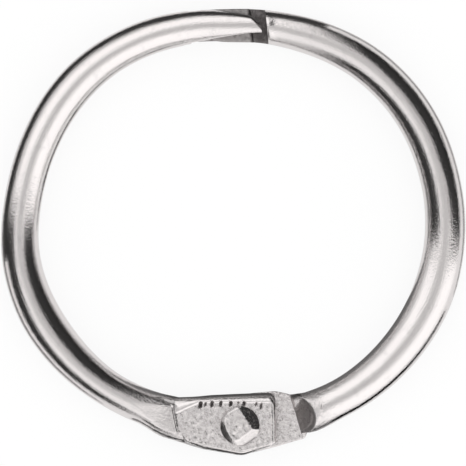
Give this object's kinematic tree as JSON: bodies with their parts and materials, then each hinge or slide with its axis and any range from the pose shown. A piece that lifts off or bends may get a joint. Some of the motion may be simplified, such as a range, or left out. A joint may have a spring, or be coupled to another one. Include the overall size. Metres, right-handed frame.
{
  "type": "hinged binder ring",
  "caption": "Snap-closing wire ring of two half rings, lapped and riveted at a flat hinge and closed by a half-lap catch, for holding punched sheets or cards.",
  "frame": {"origin": "centre of the ring's eye, on the surface that the ring lies on", "axes": "+Z along the ring's axis, away from the surface it lies on; +Y from the hinge to the closure; +X towards the rear half"},
  "size_m": [0.0314, 0.0304, 0.0029],
  "materials": {
    "plated_wire": "bright nickel plate on drawn steel wire, coined satin on the flats",
    "plated_rivet": "nickel-plated steel, peened"
  },
  "bodies": {
    "front": {"front_half": "plated_wire", "hinge_rivet": "plated_rivet"},
    "rear": {"rear_half": "plated_wire"}
  },
  "joints": [
    {"name": "hinge", "type": "hinge", "parent": "front", "child": "rear", "pos_m": [0.00047, -0.0137, 0.0013], "axis": [0, 0, -1], "range_deg": [0, 150]}
  ]
}
